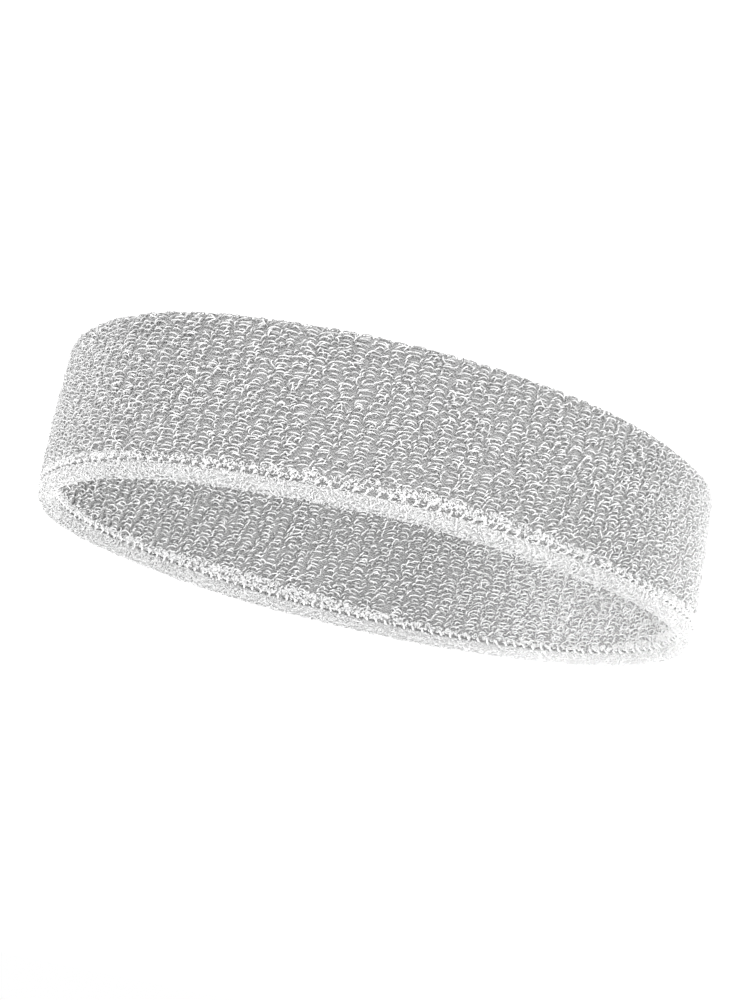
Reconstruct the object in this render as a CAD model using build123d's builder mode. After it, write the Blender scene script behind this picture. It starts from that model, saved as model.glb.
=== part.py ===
"""Sports headband: a terry-knit tube folded double, with its two open ends turned in and sewn together.

The band stands on its folded edge, open and oval as it is when worn, with the seamed edge uppermost.
Frame: millimetres, +Z up, X along the long way of the loop, origin at the middle of the loop on the
surface that the band stands on.

Every layer is measured across the wall from the wall's middle line: outward is positive.
"""
import os
from math import atan2, degrees, pi, radians

from build123d import *

# Driving dimensions: the whole band, as worn.
band_height = 50.0
loop_length = 211.0
loop_width = 166.0
wall_thickness = 6.0
end_radius = 67.5  # the middle line's radius round each end of the loop

# The cloth: a plain knitted ground with loops standing on the face that shows.
lining_gap = 0.8  # from the wall's middle line to the back of the ground knit
ground_thickness = 0.8
rest_flat_depth = 0.1  # how much of the fold's loops is pressed flat where the band stands

# The seamed edge.
rim_thickness = 5.2
rim_height = 4.6
rim_round = 2.2
seam_channel = 1.0  # bare strip of ground knit that the stitches lie in
allowance_tail = 3.0  # how far the raw ends reach below the stitches
rim_skin = 1.1  # cloth over the tops of the raw ends
thread_radius = 0.45
thread_clearance = 0.05

# The elastic yarns, laid in behind the ground knit one above another.
elastic_radius = 0.3
elastic_clearance = 0.05
elastic_first = 4.0
elastic_pitch = 5.0
elastic_count = 8

# Sizes that follow from the ones above.
half_wall = wall_thickness / 2
half_rim = rim_thickness / 2
half_length = loop_length / 2 - half_wall
half_width = loop_width / 2 - half_wall
end_centre = half_length - end_radius
side_radius = (end_centre**2 + half_width**2 - end_radius**2) / (2 * (half_width - end_radius))
side_centre = side_radius - half_width
end_angle = degrees(atan2(side_centre, end_centre))
ground_face = lining_gap + ground_thickness
fold_height = half_wall - rest_flat_depth  # the fold's own centre line, above the surface it stands on
rim_bottom = band_height - rim_height
pile_top = rim_bottom - seam_channel
seam_height = rim_bottom - seam_channel / 2
allowance_bottom = seam_height - allowance_tail
allowance_top = band_height - rim_skin
thread_offset = ground_face + thread_radius + thread_clearance
elastic_offset = lining_gap - elastic_radius - elastic_clearance


def oval(offset, height=0.0):
    """Closed line of four tangent arcs, this far outside the wall's middle line (inside if negative)."""
    end = end_radius + offset
    side = side_radius + offset
    side_angle = 180 - 2 * end_angle
    with BuildLine(Plane.XY.offset(height)) as outline:
        CenterArc((end_centre, 0), end, -end_angle, 2 * end_angle)
        CenterArc((0, -side_centre), side, end_angle, side_angle)
        CenterArc((-end_centre, 0), end, 180 - end_angle, 2 * end_angle)
        CenterArc((0, side_centre), side, 180 + end_angle, side_angle)
    return outline


def ring(first, second):
    """Add the flat ring between two lines of the wall to the sketch being made."""
    inner, outer = sorted((first, second))
    make_face(oval(outer).edges())
    make_face(oval(inner).edges(), mode=Mode.SUBTRACT)


def across(path):
    """Plane across the wall where a path starts: local X points out of the loop and local Y up."""
    heading = path.line % 0
    outward = heading.cross(Vector(0, 0, 1))
    return Plane(origin=path.line @ 0, x_dir=outward, z_dir=-heading)


def finish(part, label):
    """Name a piece and write it."""
    part.label = label
    export_step(part, f"parts/{label}.step")


os.makedirs("parts", exist_ok=True)
fold_line = oval(0, fold_height)
rim_line = oval(0, rim_bottom)

# Ground knit: the cloth that carries the loops, down the outside, round the fold and up the inside.
with BuildPart() as outer_ground_knit:
    with BuildSketch(Plane.XY.offset(fold_height)):
        ring(lining_gap, ground_face)
    extrude(amount=rim_bottom - fold_height)
finish(outer_ground_knit.part, "outer_ground_knit")

with BuildPart() as inner_ground_knit:
    with BuildSketch(Plane.XY.offset(fold_height)):
        ring(-lining_gap, -ground_face)
    extrude(amount=rim_bottom - fold_height)
finish(inner_ground_knit.part, "inner_ground_knit")

with BuildPart() as fold_ground_knit:
    with BuildSketch(across(fold_line)):
        Circle(ground_face)
        Circle(lining_gap, mode=Mode.SUBTRACT)
        split(bisect_by=Plane.XZ, keep=Keep.TOP)
    sweep(path=fold_line.wire())
finish(fold_ground_knit.part, "fold_ground_knit")

# Terry pile: the loops, as the layer of space that they fill on each face of the cloth.
with BuildPart() as outer_terry_pile:
    with BuildSketch(Plane.XY.offset(fold_height)):
        ring(ground_face, half_wall)
    extrude(amount=pile_top - fold_height)
finish(outer_terry_pile.part, "outer_terry_pile")

with BuildPart() as inner_terry_pile:
    with BuildSketch(Plane.XY.offset(fold_height)):
        ring(-ground_face, -half_wall)
    extrude(amount=pile_top - fold_height)
finish(inner_terry_pile.part, "inner_terry_pile")

# The fold's loops are pressed flat underneath, where the band stands on them.
with BuildPart() as fold_terry_pile:
    with BuildSketch(across(fold_line)):
        Circle(half_wall)
        Circle(ground_face, mode=Mode.SUBTRACT)
        split(bisect_by=Plane.XZ, keep=Keep.TOP)
        with Locations((0, -fold_height)):
            Rectangle(wall_thickness, rest_flat_depth * 2, align=(Align.CENTER, Align.MAX), mode=Mode.SUBTRACT)
    sweep(path=fold_line.wire())
finish(fold_terry_pile.part, "fold_terry_pile")

# Seam allowances: the two raw ends of the tube, turned down between the walls and caught by the stitches.
with BuildPart() as outer_seam_allowance:
    with BuildSketch(Plane.XY.offset(allowance_bottom)):
        ring(0, lining_gap)
    extrude(amount=allowance_top - allowance_bottom)
finish(outer_seam_allowance.part, "outer_seam_allowance")

with BuildPart() as inner_seam_allowance:
    with BuildSketch(Plane.XY.offset(allowance_bottom)):
        ring(0, -lining_gap)
    extrude(amount=allowance_top - allowance_bottom)
finish(inner_seam_allowance.part, "inner_seam_allowance")

# Turned edges: each cloth bends over its own raw end, and the two meet in the middle of the rim.
for label, side in (("outer_turned_edge", 1), ("inner_turned_edge", -1)):
    with BuildPart() as turned_edge:
        with BuildSketch(across(rim_line)):
            with BuildLine():
                rim_side = side * half_rim
                rim_shoulder = side * (half_rim - rim_round)
                Polyline((side * lining_gap, 0), (rim_side, 0), (rim_side, rim_height - rim_round))
                RadiusArc(
                    (rim_side, rim_height - rim_round), (rim_shoulder, rim_height), -side * rim_round
                )
                Polyline(
                    (rim_shoulder, rim_height),
                    (0, rim_height),
                    (0, rim_height - rim_skin),
                    (side * lining_gap, rim_height - rim_skin),
                    (side * lining_gap, 0),
                )
            make_face()
        sweep(path=rim_line.wire())
    finish(turned_edge.part, label)

# Seam threads: the needle's thread shows outside and the looper's inside, each lying in its channel.
with BuildPart() as seam_needle_thread:
    stitch_line = oval(thread_offset, seam_height)
    with BuildSketch(across(stitch_line)):
        Circle(thread_radius)
    sweep(path=stitch_line.wire())
finish(seam_needle_thread.part, "seam_needle_thread")

with BuildPart() as seam_looper_thread:
    stitch_line = oval(-thread_offset, seam_height)
    with BuildSketch(across(stitch_line)):
        Circle(thread_radius)
    sweep(path=stitch_line.wire())
finish(seam_looper_thread.part, "seam_looper_thread")

# Elastic yarns: one turn in every few rows of knitting, behind each wall's ground knit.
for wall, side in (("outer", 1), ("inner", -1)):
    for number in range(elastic_count):
        yarn_line = oval(side * elastic_offset, elastic_first + number * elastic_pitch)
        with BuildPart() as elastic_yarn:
            with BuildSketch(across(yarn_line)):
                Circle(elastic_radius)
            sweep(path=yarn_line.wire())
        finish(elastic_yarn.part, f"{wall}_elastic_yarn_{number + 1}")

# The finished loop's own lengths.
middle_round = 4 * (radians(end_angle) * end_radius + radians(90 - end_angle) * side_radius)
print(f"round the outside {middle_round + 2 * pi * half_wall:.1f} mm")
print(f"round the inside {middle_round - 2 * pi * half_wall:.1f} mm")
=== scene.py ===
"""Looks of a terry sports headband: looped cotton pile on a knitted ground, folded below and seamed above.

Everything is in metres in the frame's own axes: X along the loop, +Z up from the folded edge to the rim.
Along the cloth, `s` runs round the loop; `q` runs across it, from the bottom of the fold (0) up the
outside (positive) or up the inside (negative); `lift` is the height off the ground knit.
"""
import math

import bpy
import numpy as np
from mathutils import Matrix, Vector


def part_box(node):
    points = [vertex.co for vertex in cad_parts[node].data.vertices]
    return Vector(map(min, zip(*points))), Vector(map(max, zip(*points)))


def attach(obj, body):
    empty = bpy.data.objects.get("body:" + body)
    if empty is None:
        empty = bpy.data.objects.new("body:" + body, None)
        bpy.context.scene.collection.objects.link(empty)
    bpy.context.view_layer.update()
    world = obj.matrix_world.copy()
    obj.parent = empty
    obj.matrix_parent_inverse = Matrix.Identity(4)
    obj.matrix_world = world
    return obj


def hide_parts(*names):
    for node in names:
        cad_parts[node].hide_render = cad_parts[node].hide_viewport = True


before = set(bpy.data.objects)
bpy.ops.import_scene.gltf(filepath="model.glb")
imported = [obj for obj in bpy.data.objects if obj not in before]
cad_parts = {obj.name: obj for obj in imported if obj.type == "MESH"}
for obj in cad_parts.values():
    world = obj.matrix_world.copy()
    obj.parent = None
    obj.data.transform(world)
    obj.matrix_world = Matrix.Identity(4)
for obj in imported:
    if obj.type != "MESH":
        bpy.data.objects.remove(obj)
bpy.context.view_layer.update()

MM = 0.001
TAU = 2 * math.pi
rng = np.random.default_rng(20)

# ---------------------------------------------------------------- sizes, from the frame
END_RADIUS = 67.5 * MM  # the wall's middle line round each end of the loop


def reach(node, axis=0):
    """How far a node reaches along an axis."""
    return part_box(node)[1][axis]


HALF_LENGTH = (reach("outer_ground_knit") + reach("inner_terry_pile")) / 2
HALF_WIDTH = (reach("outer_ground_knit", 1) + reach("inner_terry_pile", 1)) / 2
GROUND = reach("outer_ground_knit") - HALF_LENGTH  # middle of the wall to the face of the ground knit
GROUND_BACK = reach("outer_seam_allowance") - HALF_LENGTH
HALF_RIM = reach("outer_turned_edge") - HALF_LENGTH
FOLD_Z = reach("fold_terry_pile", 2)
PILE_TOP = reach("outer_terry_pile", 2)
RIM_BOTTOM = reach("outer_ground_knit", 2)
TOP = reach("outer_turned_edge", 2)
QUARTER = GROUND * math.pi / 2  # half of the fold, measured on the ground knit
EDGE_Q = QUARTER + PILE_TOP - FOLD_Z  # q where the pile stops at the seam

END_CENTRE = HALF_LENGTH - END_RADIUS
SIDE_RADIUS = (END_CENTRE**2 + HALF_WIDTH**2 - END_RADIUS**2) / (2 * (HALF_WIDTH - END_RADIUS))
SIDE_CENTRE = SIDE_RADIUS - HALF_WIDTH
END_ANGLE = math.atan2(SIDE_CENTRE, END_CENTRE)
SIDE_TURN = math.pi - 2 * END_ANGLE
ARC_ENDS = np.cumsum([0, END_ANGLE, SIDE_TURN, 2 * END_ANGLE, SIDE_TURN, END_ANGLE])
ARC_RADII = np.array([END_RADIUS, SIDE_RADIUS, END_RADIUS, SIDE_RADIUS, END_RADIUS])
ARC_X = np.array([END_CENTRE, 0, -END_CENTRE, 0, END_CENTRE])
ARC_Y = np.array([0, -SIDE_CENTRE, 0, SIDE_CENTRE, 0])
ARC_LENGTHS = np.concatenate([[0], np.cumsum(np.diff(ARC_ENDS) * ARC_RADII)])
ROUND = ARC_LENGTHS[-1]  # the way round the wall's middle line


# ---------------------------------------------------------------- the cloth's own coordinates
SWAY = 0.35 * MM  # how far the walls sway in and out round the loop
BELLY = 0.45 * MM  # how far they bulge at mid height
SET_BACK = 0.3 * MM  # how far they stand in, so that sway and bulge keep to their space
SAG = 0.3 * MM  # how far the rim rises and falls


def waves(s, count, seed):
    """A smooth value from about -1 to 1 that varies round the loop and meets itself."""
    local = np.random.default_rng(seed)
    total = np.zeros_like(s)
    for cycles in range(2, 2 + count):
        total += local.normal() * np.sin(TAU * cycles * s / ROUND + local.uniform(0, TAU)) / count**0.5
    return total


def on_wall(s, u, z):
    """The point u outside the middle of the wall and z high, with the softness of a real cloth."""
    s = np.mod(s, ROUND)
    arc = np.clip(np.searchsorted(ARC_LENGTHS, s, side="right") - 1, 0, 4)
    angle = ARC_ENDS[arc] + (s - ARC_LENGTHS[arc]) / ARC_RADII[arc]
    high = np.clip(z / TOP, 0, 1)
    sway = waves(s, 7, 3) * high + waves(s, 9, 4) * np.sin(math.pi * high)
    belly = np.sin(math.pi * high) ** 0.7
    out = ARC_RADII[arc] + u + SWAY * sway + BELLY * belly - SET_BACK
    lift = SAG * waves(s, 8, 5) * high
    return np.stack([ARC_X[arc] + out * np.cos(angle), ARC_Y[arc] + out * np.sin(angle), z + lift], -1)


def on_cloth(s, q, lift):
    """The point at (s, q) on the ground knit's face, raised by lift."""
    turn = np.clip(q / GROUND, -math.pi / 2, math.pi / 2)
    run = np.maximum(np.abs(q) - QUARTER, 0)
    u = (GROUND + lift) * np.sin(turn)
    z = FOLD_Z - (GROUND + lift) * np.cos(turn) + run
    return on_wall(s, u, z)


RIM_INSET = 0.7 * MM  # room left for the loops on the turned edge
RIM_ROUND = 1.85 * MM  # radius of its two top corners
RIM_TUCK, TUCK_REACH = 0.5 * MM, 0.4 * MM  # how far it is drawn in at the seam, and how far up that shows
RIM_VALLEY, VALLEY_REACH = 0.5 * MM, 0.7 * MM  # depth and half-width of the valley along its top
RIM_SIDE = HALF_RIM - RIM_INSET
RIM_TOP = TOP - RIM_INSET
RIM_STRAIGHT = RIM_TOP - RIM_ROUND - RIM_BOTTOM
RIM_BEND = RIM_ROUND * math.pi / 2
RIM_RUN = 2 * (RIM_STRAIGHT + RIM_BEND + RIM_SIDE - RIM_ROUND)  # over the rim from seam to seam


def on_rim(s, p, lift):
    """The point p over the turned edge from the outer seam, raised by lift."""
    half = np.minimum(p, RIM_RUN - p)
    turn = np.clip((half - RIM_STRAIGHT) / RIM_ROUND, 0, math.pi / 2)
    tuck = RIM_TUCK * np.exp(-((half / TUCK_REACH) ** 2))
    flat = np.maximum(half - RIM_STRAIGHT - RIM_BEND, 0)
    u = RIM_SIDE - RIM_ROUND + (RIM_ROUND + lift) * np.cos(turn) - flat - tuck
    z = RIM_BOTTOM + np.minimum(half, RIM_STRAIGHT) + (RIM_ROUND + lift) * np.sin(turn)
    valley = RIM_VALLEY * np.exp(-((u / VALLEY_REACH) ** 2))
    return on_wall(s, np.where(p > RIM_RUN / 2, -u, u), z - valley)


# ---------------------------------------------------------------- meshes
def new_piece(name, verts, faces, maps, tone=None):
    """A mesh object from arrays of faces, each array with its own number of corners, and UV maps by name."""
    mesh = bpy.data.meshes.new(name)
    mesh.vertices.add(len(verts))
    mesh.vertices.foreach_set("co", np.asarray(verts, np.float32).ravel())
    corners = np.concatenate([f.ravel() for f in faces]).astype(np.int32)
    sizes = np.concatenate([np.full(len(f), f.shape[1]) for f in faces])
    mesh.loops.add(len(corners))
    mesh.loops.foreach_set("vertex_index", corners)
    mesh.polygons.add(len(sizes))
    mesh.polygons.foreach_set("loop_start", (np.cumsum(sizes) - sizes).astype(np.int32))
    mesh.polygons.foreach_set("use_smooth", np.ones(len(sizes), bool))
    for label, uv in maps.items():
        layer = mesh.uv_layers.new(name=label)
        layer.data.foreach_set("uv", np.asarray(uv, np.float32).ravel())
    # Per-point painted shade, which darkens a loop's colour towards its foot.
    if tone is not None:
        layer = mesh.attributes.new("tone", "FLOAT", "POINT")
        layer.data.foreach_set("value", np.asarray(tone, np.float32).ravel())
    mesh.update(calc_edges=True)
    mesh.validate()
    piece = bpy.data.objects.new(name, mesh)
    bpy.context.scene.collection.objects.link(piece)
    return piece


def unit(v):
    """Vectors at length one."""
    return v / np.maximum(np.linalg.norm(v, axis=-1, keepdims=True), 1e-12)


def cells(number, along, around):
    """Places on the piece's flat map: one cell for each yarn, four times as long as it is wide."""
    columns = math.ceil(math.sqrt(number.max() + 1) / 2)
    rows = math.ceil((number.max() + 1) / columns)
    return (number % columns + along) / columns, (number // columns + around) / rows


def yarn(name, lines, radius, across, tone, sides=5, closed=False, runs=1):
    """Round yarns along lines (count, points, 3); across is a direction that each line never follows.

    runs is how many cells of the flat map one line takes. The map "Yarn" holds the place round the
    yarn, from 0 to 1, and the millimetres along it.
    """
    count, points = lines.shape[:2]
    ahead = np.roll(lines, -1, 1) - np.roll(lines, 1, 1) if closed else np.gradient(lines, axis=1)
    ahead = unit(ahead)
    side = unit(np.cross(ahead, across))
    other = np.cross(ahead, side)
    turn = TAU * np.arange(sides) / sides
    ring = np.cos(turn)[:, None] * side[:, :, None] + np.sin(turn)[:, None] * other[:, :, None]
    verts = lines[:, :, None] + np.broadcast_to(radius, (count, points))[..., None, None] * ring
    index = np.arange(count * points * sides).reshape(count, points, sides)
    here, there = (index, np.roll(index, -1, 1)) if closed else (index[:, :-1], index[:, 1:])
    quads = np.stack([here, np.roll(here, -1, 2), np.roll(there, -1, 2), there], -1).reshape(-1, 4)

    steps = here.shape[1]
    step, part = np.meshgrid(np.arange(steps), np.arange(sides), indexing="ij")
    per = steps // runs
    number = np.arange(count)[:, None, None] * runs + step // per
    corner_step = np.stack([step % per, step % per, step % per + 1, step % per + 1], -1) / per
    corner_part = np.stack([part, part + 1, part + 1, part], -1) / sides
    flat = np.stack(cells(number[..., None], 0.03 + 0.85 * corner_step, 0.06 + 0.88 * corner_part), -1)
    ends = np.concatenate([lines, lines[:, :1]], 1) if closed else lines
    gone = np.cumsum(np.linalg.norm(np.diff(ends, axis=1), axis=-1), 1)
    gone = np.concatenate([np.zeros((count, 1)), gone], 1)
    length = np.stack([gone[:, :-1], gone[:, :-1], gone[:, 1:], gone[:, 1:]], -1)[:, :, None] / MM
    shape = (count, steps, sides, 4)
    strip = np.stack([np.broadcast_to(corner_part, shape), np.broadcast_to(length, shape)], -1)
    faces, flat, strip = [quads], flat.reshape(-1, 2), strip.reshape(-1, 2)
    if not closed:
        caps = np.stack([index[:, 0, ::-1], index[:, -1]], 1)
        number = np.arange(count)[:, None, None]
        middle = np.array([0.3, 0.7])[:, None]
        disc = cells(number, 0.94 + 0.025 * np.cos(turn) + 0 * middle, middle + 0.1 * np.sin(turn))
        faces.append(caps.reshape(-1, sides))
        flat = np.concatenate([flat, np.stack(np.broadcast_arrays(*disc), -1).reshape(-1, 2)])
        strip = np.concatenate([strip, np.zeros((caps.size, 2))])
    tone = np.broadcast_to(tone[:, :, None], index.shape)
    return new_piece(name, verts.reshape(-1, 3), faces, {"OFBake": flat, "Yarn": strip}, tone)


# ---------------------------------------------------------------- terry loops
# The columns of loops round each wall, the way from one row of them to the next, and the yarn's radius.
OUTER_KNIT = {"wales": 120, "course": 1.22 * MM, "radius": 0.175 * MM}
INNER_KNIT = {"wales": 106, "course": 1.42 * MM, "radius": 0.195 * MM}
SPIRAL = math.tan(math.radians(7))  # the columns of a circular knit lean a little
ROOTED = 0.35 * MM  # how deep a loop's feet go into the ground
PILE = 1.4 * MM  # height above which a loop's colour has no painted shade, which stands for the shade between its neighbours
PILE_END = EDGE_Q + 0.2 * MM  # the last loops leave the linking thread in sight
RUFF_END = EDGE_Q + 0.7 * MM  # how far a few curled loops fall over it
PRESSED = 0.6  # the share of its height that the pile loses round the ends of the loop
PRESSED_FROM = 0.45  # the share of the half length where it starts to lose height towards one end
PRESSED_FULL = 0.85  # and where it has lost all of that
TIP_FROM = 0.9  # the same start towards the other end, which is pressed only at its tip
TIP_PRESSED = 0.6
KINK = 0.12 * MM  # how far a loop strays from a smooth arch
RUFF = 2.4 * MM  # mean width of the crowded, curled loops along the seam
RUFF_LEAST = 0.8 * MM

# Kinds of loop: width, height and droop in mm, the way the loop lies in degrees from level and how far
# that strays, how close its feet are, as a share of its width, and how much painted shade darkens its colour
# at its foot.
COLUMN = {"width": 4.3, "lift": 1.3, "droop": 0.5, "lies": 0, "strays": 10, "feet": 0.62, "shade": 1.0}
TWISTED = {"width": 2.2, "lift": 1.4, "droop": 0.3, "lies": 46, "strays": 22, "feet": 0.8, "shade": 1.0}
LOOSE = {"width": 3.4, "lift": 1.6, "droop": 0.7, "lies": 15, "strays": 60, "feet": 0.5, "shade": 1.0}
SHORT = {"width": 1.5, "lift": 0.65, "droop": 0.3, "lies": 0, "strays": 90, "feet": 0.5, "shade": 1.0}
CURLED = {"width": 1.4, "lift": 0.75, "droop": 0.65, "lies": 0, "strays": 150, "feet": 0.4, "shade": 0.3}
PACKED = {"width": 1.7, "lift": 0.65, "droop": 0.4, "lies": 0, "strays": 90, "feet": 0.5, "shade": 1.0}


def drift(s, q, seed, spread=0.012):
    """A smooth patchy value over the cloth, so that neighbouring loops lie alike."""
    local = np.random.default_rng(seed)
    total = np.zeros_like(s)
    for _ in range(14):
        cycles = round(local.normal() * ROUND / spread / 2)
        total += np.sin(TAU * (cycles * s / ROUND + local.normal() * q / spread / 2) + local.uniform(0, TAU))
    return total / 14**0.5


def bent(s):
    """From 0 along the sides to 1 round the ends of the loop, one end more than the other."""
    x = on_wall(s, 0, 0)[..., 0] / HALF_LENGTH
    most = np.clip((-PRESSED_FROM - x) / (PRESSED_FULL - PRESSED_FROM), 0, 1)
    least = TIP_PRESSED * np.clip((x - TIP_FROM) / (1 - TIP_FROM), 0, 1)
    return np.where(x < 0, most, least)


def lay(kind, s, q, place=on_cloth, limits=(-PILE_END, PILE_END), points=8):
    """Lines of loops with their feet about (s, q): out from the ground, hanging, and back; and their tone,
    painted shade that darkens each loop towards its foot.
    """
    count = len(s)
    sizes = (kind[key] * MM * rng.uniform(0.6, 1.15, (count, 1)) for key in ("width", "lift", "droop"))
    width, lift, droop = sizes
    stray = kind["strays"] * (0.7 * rng.normal(size=count) + 0.5 * drift(s, q, 11))
    lies = np.radians(kind["lies"] + stray)[:, None]
    t = np.linspace(0, 1, points)
    arch = np.sin(math.pi * t)
    along = -0.5 * np.cos(math.pi * t) * (kind["feet"] + (1 - kind["feet"]) * arch) * width
    kink = np.sin(TAU * t + rng.uniform(0, TAU, (count, 1))) * rng.normal(size=(count, 1)) * KINK
    down = arch**1.7 * droop + arch * kink
    height = 1 - PRESSED * bent(s)[:, None]
    out = arch**0.75 * (lift * height + ROOTED) - ROOTED
    up = np.where(q >= 0, 1.0, -1.0)[:, None]
    line_s = s[:, None] + along * np.cos(lies) + up * down * np.sin(lies)
    line_q = q[:, None] + along * np.sin(lies) - up * down * np.cos(lies)
    lines = place(line_s, np.clip(line_q, *limits), out)
    # Painted shade: the colour darkens towards each loop's foot, less where the pile is pressed lower.
    tone = 1 - kind["shade"] * height * (1 - np.clip(out / PILE / height, 0, 1) ** 1.2)
    return s, lines, tone


def spin(name, lines, tone, radius):
    """One piece of loops from their lines."""
    count, points = lines.shape[:2]
    across = np.cross(lines[:, -1] - lines[:, 0], lines[:, points // 2] - lines[:, 0])[:, None]
    arch = np.sin(math.pi * np.linspace(0, 1, points))
    thick = radius * (0.85 + 0.15 * arch) * rng.uniform(0.85, 1.15, (count, 1))
    return yarn(name, lines, thick, across, tone)


def grid(low, high, wales, course, aside=0.0, stray=0.32 * MM):
    """Feet of the loops between two q, in leaning columns, with the unevenness of a real knit."""
    rows = np.arange(low + course / 2, high, course)
    columns = (np.arange(wales) + aside + rng.uniform(-0.12, 0.12, wales)) * ROUND / wales
    s, q = (v.ravel() for v in np.meshgrid(columns, rows))
    s = s + q * SPIRAL + rng.normal(size=len(s)) * stray
    return np.mod(s, ROUND), q + rng.normal(size=len(q)) * 0.22 * MM


def scatter(low, high, per_square):
    """Feet of loops that keep to no column, so many to the square millimetre."""
    count = round(per_square * (high - low) * ROUND / MM**2)
    return rng.uniform(0, ROUND, count), rng.uniform(low, high, count)


def ruff(s):
    """How far down from the seam the crowded, curled loops reach."""
    return np.maximum(RUFF * (1 + 0.6 * waves(s, 5, 238)), RUFF_LEAST)


def at_the_bends(s, q):
    """Fewer and fewer of the feet away from the ends of the loop."""
    kept = rng.random(len(s)) < bent(s)
    return s[kept], q[kept]


def below_ruff(s, q):
    """Only the feet that lie clear of the ruff."""
    clear = np.abs(q) < EDGE_Q - 0.8 * ruff(s)
    return s[clear], q[clear]


def crowd(side, per_square):
    """Feet of loops crowded into the ruff of one side, so many to the square millimetre."""
    s, down = scatter(0, 3 * RUFF, per_square)
    down = down * rng.uniform(0.75, 1.25, len(down))
    inside = down < ruff(s)
    return s[inside], side * (PILE_END - down[inside])


def split(name, batches, count, radius):
    """Pieces of loops, one for each of so many lengths of the band, with as many loops in each."""
    s, lines, tone = (np.concatenate(part) for part in zip(*batches))
    lengths = np.array_split(np.argsort(s), count)
    return [spin(f"{name}_{n + 1}", lines[part], tone[part], radius) for n, part in enumerate(lengths)]


def cover(name, low, high, wales, course, radius):
    """All the loops of one wall: columns, twisted, loose and short ones, and a ruff along the seam."""
    batches = [
        lay(COLUMN, *below_ruff(*grid(low, high, wales, course))),
        lay(TWISTED, *below_ruff(*grid(low, high, wales, 0.68 * course, 0.5, 1.1 * MM))),
        lay(LOOSE, *below_ruff(*scatter(low, high, 0.03))),
        lay(SHORT, *scatter(low, high, 0.27)),
        lay(SHORT, *at_the_bends(*scatter(low, high, 0.8))),
        lay(CURLED, *crowd(np.sign(high + low), 2.4), limits=(-RUFF_END, RUFF_END)),
    ]
    return split(name, batches, 10, radius)


pile = cover("outer_loops", QUARTER, EDGE_Q, **OUTER_KNIT)
pile += cover("inner_loops", -EDGE_Q, -QUARTER, **INNER_KNIT)
FOLD = (-QUARTER, QUARTER)
FLATTER = {"lift": 0.8}  # the pile is squeezed lower over the fold
fold_batches = [
    lay(COLUMN | FLATTER, *grid(*FOLD, OUTER_KNIT["wales"], 1.1 * MM)),
    lay(TWISTED | FLATTER, *grid(*FOLD, OUTER_KNIT["wales"], 1.0 * MM, 0.5, 0.9 * MM)),
    lay(SHORT, *scatter(*FOLD, 0.35)),
]
fold_loops = split("fold_loops", fold_batches, 1, OUTER_KNIT["radius"])[0]
RIM_ENDS = (-0.1 * MM, RIM_RUN + 0.1 * MM)
packed = lay(PACKED, *scatter(*RIM_ENDS, 1.6), on_rim, RIM_ENDS)
rim_loops = split("rim_loops", [packed], 4, 0.165 * MM)


# ---------------------------------------------------------------- ground knit and turned edge
def band_surface(name, profile, steps, rows):
    """A closed skin swept round the loop: profile(s) gives its points (steps, points, 3) in order.

    Its flat map lays the loop out in so many rows. The map "Cloth" holds millimetres round and across it.
    """
    verts = profile(np.arange(steps)[:, None] / steps * ROUND)
    points = verts.shape[1]
    index = np.arange(steps * points).reshape(steps, points)
    ahead = np.roll(index, -1, 0)
    quads = np.stack([index, ahead, np.roll(ahead, -1, 1), np.roll(index, -1, 1)], -1).reshape(-1, 4)
    step, point = np.meshgrid(np.arange(steps), np.arange(points), indexing="ij")
    row = step * rows // steps
    u = np.stack([step, step + 1, step + 1, step], -1) * rows / steps - row[..., None]
    v = np.stack([point, point, point + 1, point + 1], -1) / points
    flat = np.stack([0.005 + 0.99 * u, (row[..., None] + 0.01 + 0.98 * v) / rows], -1)
    across = np.cumsum(np.linalg.norm(verts[0] - np.roll(verts[0], 1, 0), axis=-1)) / MM
    across = np.append(across, across[-1] + np.linalg.norm(verts[0, -1] - verts[0, 0]) / MM)
    cloth = np.stack([(u + row[..., None]) / rows * ROUND / MM, across[np.rint(v * points).astype(int)]], -1)
    maps = {"OFBake": flat.reshape(-1, 2), "Cloth": cloth.reshape(-1, 2)}
    return new_piece(name, verts.reshape(-1, 3), [quads], maps)


GROUND_END = EDGE_Q + RIM_BOTTOM - PILE_TOP
GROUND_DIP, DIP_REACH = 0.4 * MM, 0.45 * MM  # how deep the linking thread draws it in, and over what width
NEAR_SEAM = 4 * MM  # the part beside the seam, where its points stand closer for the dip


def ground_profile(s):
    """Face of the ground knit from seam to seam, drawn in under the linking thread, and its reverse."""
    level = GROUND_END - NEAR_SEAM
    q = np.concatenate([np.linspace(-GROUND_END, -level, 11)[:-1],
                        np.linspace(-level, level, 68),
                        np.linspace(level, GROUND_END, 11)[1:]])[None]
    dip = -GROUND_DIP * np.exp(-(((np.abs(q) - GROUND_END + GROUND_DIP) / DIP_REACH) ** 2))
    face = on_cloth(s + 0 * q, q + 0 * s, dip + 0 * s)
    q = np.linspace(GROUND_END, -GROUND_END, 36)[None]
    back = on_cloth(s + 0 * q, q + 0 * s, GROUND_BACK - GROUND + 0 * q * s)
    return np.concatenate([face, back], 1)


def rim_profile(s):
    """The turned edge from seam to seam, and back underneath."""
    p = np.linspace(0, RIM_RUN, 40)[None]
    over = on_rim(s + 0 * p, p + 0 * s, 0 * p * s)
    u = np.linspace(-1, 1, 8)[None, 1:-1] * (RIM_SIDE - RIM_TUCK)
    under = on_wall(s + 0 * u, u + 0 * s, RIM_BOTTOM + 0 * u * s)
    return np.concatenate([over, under], 1)


ground = band_surface("ground_knit", ground_profile, 720, 2)
rim = band_surface("turned_edge", rim_profile, 720, 5)


# ---------------------------------------------------------------- seam
STITCH = 3.35 * MM
STITCHES = round(ROUND / STITCH)
THREAD_RADIUS = 0.38 * MM
THREAD_DEPTH = 1.25 * MM  # how deep the thread lies under the ground's face between stitches
THREAD_RISE = 2.4 * MM  # how far it comes out at a stitch
CROSSING = 1.3 * MM  # how far it runs up and down over the channel


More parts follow.
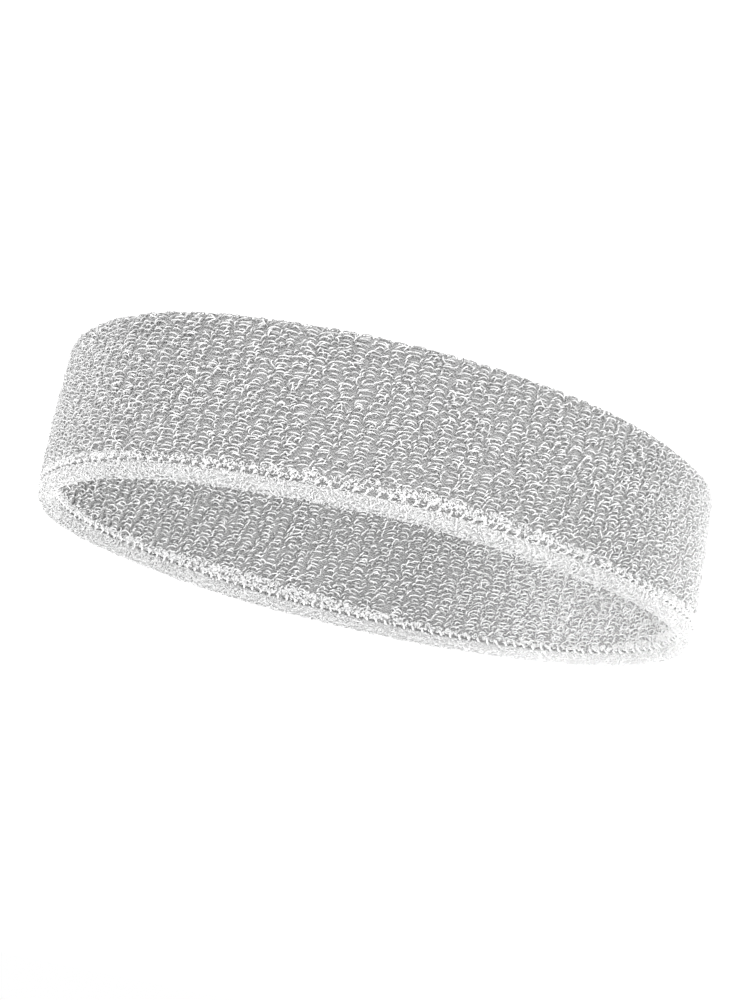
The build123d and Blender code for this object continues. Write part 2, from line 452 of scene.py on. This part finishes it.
def seam(name, side):
    """Linking thread: through the cloth, then out and over the channel at every stitch."""
    per = 16  # points a stitch
    t = np.arange(STITCHES * per) / per
    phase = t % 1
    pulled = np.random.default_rng(7).uniform(0.75, 1.0, STITCHES).repeat(per)
    bar = pulled * np.exp(-(((phase - 0.5) / 0.12) ** 2))
    z = (PILE_TOP + RIM_BOTTOM) / 2 + CROSSING * np.clip((phase - 0.5) / 0.1, -1, 1) * bar
    u = side * (GROUND - THREAD_DEPTH + THREAD_RISE * bar)
    line = on_wall(t * ROUND / STITCHES, u, z)[None]
    # The thread gets no painted shade at its foot.
    upright, no_painted_shade = np.array([0, 0, 1.0]), np.ones((1, len(t)))
    return yarn(name, line, THREAD_RADIUS, upright, no_painted_shade, 6, closed=True, runs=STITCHES)


needle = seam("seam_needle_thread_stitches", 1)
looper = seam("seam_looper_thread_stitches", -1)


# ---------------------------------------------------------------- materials
def colour(code):
    """A six-digit sRGB hex colour as linear red, green, blue and alpha."""
    values = [int(code[i:i + 2], 16) / 255 for i in (0, 2, 4)]
    return [v / 12.92 if v <= 0.04045 else ((v + 0.055) / 1.055) ** 2.4 for v in values] + [1.0]


def add(tree, kind, links=None, **settings):
    """Add a node, with values for its sockets or properties, and links as {input: output socket}."""
    node = tree.nodes.new(kind)
    for key, value in settings.items():
        if key in node.inputs:
            node.inputs[key].default_value = value
        else:
            setattr(node, key, value)
    for key, output in (links or {}).items():
        tree.links.new(output, node.inputs[key])
    return node


def material(name):
    """An empty node material and its tree."""
    made = bpy.data.materials.new(name)
    made.use_nodes = True
    made.node_tree.nodes.clear()
    return made, made.node_tree


def ramp(tree, value, low, high):
    """Colours between two hex codes as a value goes from 0 to 1."""
    node = add(tree, "ShaderNodeValToRGB", {"Fac": value})
    node.color_ramp.elements[0].color = colour(low)
    node.color_ramp.elements[1].color = colour(high)
    return node.outputs["Color"]


PLY_TWIST = 0.9  # mm along a two-ply yarn for half a turn; the real 0.5 mm would be too fine to show


def looped_cotton(name, root, crown, sheen=0.3):
    """Bleached two-ply ring-spun cotton, as knitted loops or, with less sheen, as sewing thread.

    Matt and softly rounded, with the slant of its plies and painted shade in the grooves between them,
    a bloom of loose fibre along its edges, and painted shade near the ground: a greyer colour where the
    loops stand close and shade each other.
    """
    made, tree = material(name)
    # Painted shade darkens the colour towards each loop's foot.
    tone = add(tree, "ShaderNodeAttribute", attribute_name="tone")
    strip = add(tree, "ShaderNodeUVMap", uv_map="Yarn")
    part = add(tree, "ShaderNodeSeparateXYZ", {"Vector": strip.outputs["UV"]})
    twist = add(tree, "ShaderNodeMath", {0: part.outputs["Y"]}, operation="DIVIDE")
    twist.inputs[1].default_value = PLY_TWIST
    phase = add(tree, "ShaderNodeMath", {0: twist.outputs[0], 1: part.outputs["X"]}, operation="ADD")
    turned = add(tree, "ShaderNodeMath", {0: phase.outputs[0]}, operation="MULTIPLY")
    turned.inputs[1].default_value = TAU
    plies = add(tree, "ShaderNodeMath", {0: turned.outputs[0]}, operation="SINE")
    place = add(tree, "ShaderNodeTexCoord")
    fibre = add(tree, "ShaderNodeTexNoise", {"Vector": place.outputs["Object"]}, Scale=2200.0, Detail=2.0)
    uneven = add(tree, "ShaderNodeTexNoise", {"Vector": place.outputs["Object"]}, Scale=260.0, Detail=2.0)
    height = add(tree, "ShaderNodeMath", {0: plies.outputs[0], 1: fibre.outputs["Fac"]}, operation="ADD")
    bump = add(tree, "ShaderNodeBump", {"Height": height.outputs[0]}, Strength=0.7, Distance=0.00008)
    ply_groove_shade = {"From Min": -1.0, "To Min": -0.09, "To Max": 0.02}  # painted shade, darker in the grooves between the plies
    painted_ply_shade = add(tree, "ShaderNodeMapRange", {"Value": plies.outputs[0]}, **ply_groove_shade)
    patches = {"To Min": -0.14, "To Max": 0.14}
    cloudy = add(tree, "ShaderNodeMapRange", {"Value": uneven.outputs["Fac"]}, **patches)
    both = add(tree, "ShaderNodeMath", {0: painted_ply_shade.outputs[0], 1: cloudy.outputs[0]}, operation="ADD")
    value = add(tree, "ShaderNodeMath", {0: tone.outputs["Fac"], 1: both.outputs[0]}, operation="ADD")
    shader = add(
        tree, "ShaderNodeBsdfPrincipled",
        {"Base Color": ramp(tree, value.outputs[0], root, crown), "Normal": bump.outputs["Normal"]},
        **{"Roughness": 0.9, "Sheen Weight": sheen, "Sheen Roughness": 0.5, "Specular IOR Level": 0.3},
    )
    add(tree, "ShaderNodeOutputMaterial", {"Surface": shader.outputs["BSDF"]})
    return made


STITCH_WIDE, STITCH_HIGH = 1.3, 0.9  # mm; a plain-knit stitch of the ground


def knitted_ground(name, face, shade):
    """Plain-knitted textured nylon and elastic: rows of small matt V-shaped stitches, with painted shade in
    the hollows between them.
    """
    made, tree = material(name)
    cloth = add(tree, "ShaderNodeUVMap", uv_map="Cloth")
    part = add(tree, "ShaderNodeSeparateXYZ", {"Vector": cloth.outputs["UV"]})
    column = add(tree, "ShaderNodeMath", {0: part.outputs["X"]}, operation="PINGPONG")
    column.inputs[1].default_value = STITCH_WIDE / 2
    row = add(tree, "ShaderNodeMath", {0: part.outputs["Y"], 1: column.outputs[0]}, operation="ADD")
    turned = add(tree, "ShaderNodeMath", {0: row.outputs[0]}, operation="MULTIPLY")
    turned.inputs[1].default_value = TAU / STITCH_HIGH
    stitches = add(tree, "ShaderNodeMath", {0: turned.outputs[0]}, operation="SINE")
    place = add(tree, "ShaderNodeTexCoord")
    fibre = add(tree, "ShaderNodeTexNoise", {"Vector": place.outputs["Object"]}, Scale=1500.0, Detail=3.0)
    height = add(tree, "ShaderNodeMath", {0: stitches.outputs[0], 1: fibre.outputs["Fac"]}, operation="ADD")
    bump = add(tree, "ShaderNodeBump", {"Height": height.outputs[0]}, Strength=0.8, Distance=0.00025)
    # Painted shade: the colour goes darker in the hollows between the stitches.
    span = {"From Min": -0.8, "From Max": 1.8}
    value = add(tree, "ShaderNodeMapRange", {"Value": height.outputs[0]}, **span)
    shader = add(
        tree, "ShaderNodeBsdfPrincipled",
        {"Base Color": ramp(tree, value.outputs[0], shade, face), "Normal": bump.outputs["Normal"]},
        **{"Roughness": 0.95},
    )
    add(tree, "ShaderNodeOutputMaterial", {"Surface": shader.outputs["BSDF"]})
    return made


# Each cotton's first colour is the dark end of its ramp, reached through painted shade at the loops' feet and
# between the plies, and a little through random patches; the second is the yarn's own colour.
terry = looped_cotton("Bleached looped cotton", "989898", "E8E8E8")
compact = looped_cotton("Compact looped cotton", "C6C6C6", "ECECEC")
thread = looped_cotton("Cotton sewing thread", "D4D4D4", "ECECEC", sheen=0.1)
# The plain-knitted ground's grey is painted shade, standing for the shade between the loops over a white
# ground; both knits are painted darker in the hollows of their stitches.
ground_cloth = knitted_ground("Plain-knitted ground", "C0C0C0", "8E8E8E")
rim_cloth = knitted_ground("Compact knit", "DEDEDE", "CCCCCC")

for piece in [*pile, fold_loops]:
    piece.data.materials.append(terry)
for piece in rim_loops:
    piece.data.materials.append(compact)
for piece in (needle, looper):
    piece.data.materials.append(thread)
ground.data.materials.append(ground_cloth)
rim.data.materials.append(rim_cloth)

# ---------------------------------------------------------------- what each piece stands for
ELASTIC = [f"{wall}_elastic_yarn_{n}" for wall in ("outer", "inner") for n in range(1, 9)]
for piece in pile:
    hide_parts(piece.name.split("_")[0] + "_terry_pile")
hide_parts("fold_terry_pile")
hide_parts("outer_ground_knit", "inner_ground_knit", "fold_ground_knit", *ELASTIC)
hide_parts("outer_turned_edge", "inner_turned_edge", "outer_seam_allowance", "inner_seam_allowance")
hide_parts("seam_needle_thread")
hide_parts("seam_looper_thread")
on_ground = [*pile, fold_loops, rim, *rim_loops, needle, looper]
for piece in (ground, *on_ground):
    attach(piece, "root")


# ---------------------------------------------------------------- floor, light and camera
def plane(name, size, place):
    """A flat square, level, with its middle at a place."""
    mesh = bpy.data.meshes.new(name)
    h = size / 2
    mesh.from_pydata([(-h, -h, 0), (h, -h, 0), (h, h, 0), (-h, h, 0)], [], [(0, 1, 2, 3)])
    made = bpy.data.objects.new(name, mesh)
    made.location = place
    bpy.context.scene.collection.objects.link(made)
    return made


# Opal acrylic, frosted and lit from below: an even matt white without a shadow.
BELOW = -0.6 * MM  # the floor's place, a little under the lowest loops
floor = plane("floor", 80.0, (0, 0, BELOW))
acrylic, tree = material("Opal acrylic light table")
shader = add(tree, "ShaderNodeBsdfPrincipled", **{
    "Base Color": colour("F4F4F4"), "Roughness": 0.9,
    "Emission Color": (1, 1, 1, 1), "Emission Strength": 0.95,
})
add(tree, "ShaderNodeOutputMaterial", {"Surface": shader.outputs["BSDF"]})
floor.data.materials.append(acrylic)


def softbox(name, place, size, power, aim=(0, 0, TOP / 2)):
    """A soft rectangular lamp, out of sight, turned to the band."""
    data = bpy.data.lights.new(name, "AREA")
    data.shape = "RECTANGLE"
    data.size, data.size_y = size
    data.energy = power
    lamp = bpy.data.objects.new(name, data)
    lamp.location = place
    lamp.rotation_mode = "QUATERNION"
    lamp.rotation_quaternion = (Vector(aim) - Vector(place)).to_track_quat("-Z", "Y")
    lamp.visible_camera = False
    bpy.context.scene.collection.objects.link(lamp)


softbox("left", (-0.8, -0.1, 0.25), (1.0, 1.0), 1.2)
softbox("right", (0.8, 0.1, 0.25), (1.0, 1.0), 7.0)
softbox("front left", (-0.6, -0.6, 0.45), (0.6, 0.6), 4.6)
softbox("in front", (0.15, -0.7, 0.35), (0.4, 0.4), 1.9)
softbox("low in front", (0.3, -0.8, 0.06), (0.6, 0.3), 2.1)
softbox("over the opening", (0, -0.035, 0.3), (0.2, 0.06), 0.72, aim=(0, 0.03, 0))
world = bpy.data.worlds.new("Pale room")
world.use_nodes = True
room = world.node_tree.nodes["Background"]
room.inputs["Color"].default_value = (1, 1, 1, 1)
# The room looks as pale as the floor, and lights the band far less than the softboxes do.
tree = world.node_tree
seen = add(tree, "ShaderNodeLightPath").outputs["Is Camera Ray"]
strength = add(tree, "ShaderNodeMapRange", {"Value": seen}, **{"To Min": 0.2, "To Max": 1.0})
tree.links.new(strength.outputs["Result"], room.inputs["Strength"])
bpy.context.scene.world = world
bpy.context.scene.view_settings.view_transform = "Standard"

# The camera looks down on the rim from a little above and to the right, held nearly upside down.
AZIMUTH, ELEVATION, ROLL = map(math.radians, (20.94, 14.98, 191.37))
DISTANCE, ASIDE, ABOVE = 0.6117, 0.0028, -0.0011
FOCAL = 1.966  # in picture heights
level = math.cos(ELEVATION)
back = Vector((math.sin(AZIMUTH) * level, -math.cos(AZIMUTH) * level, math.sin(ELEVATION)))
right = Vector((math.cos(AZIMUTH), math.sin(AZIMUTH), 0))
upward = back.cross(right)
data = bpy.data.cameras.new("camera")
data.sensor_width = 36.0
data.lens = FOCAL * data.sensor_width
camera = bpy.data.objects.new("camera", data)
turned_right = math.cos(ROLL) * right + math.sin(ROLL) * upward
turned_up = -math.sin(ROLL) * right + math.cos(ROLL) * upward
camera.matrix_world = Matrix((turned_right, turned_up, back)).transposed().to_4x4()
camera.location = Vector((0, 0, TOP / 2)) + back * DISTANCE + right * ASIDE + upward * ABOVE
bpy.context.scene.collection.objects.link(camera)
bpy.context.scene.camera = camera
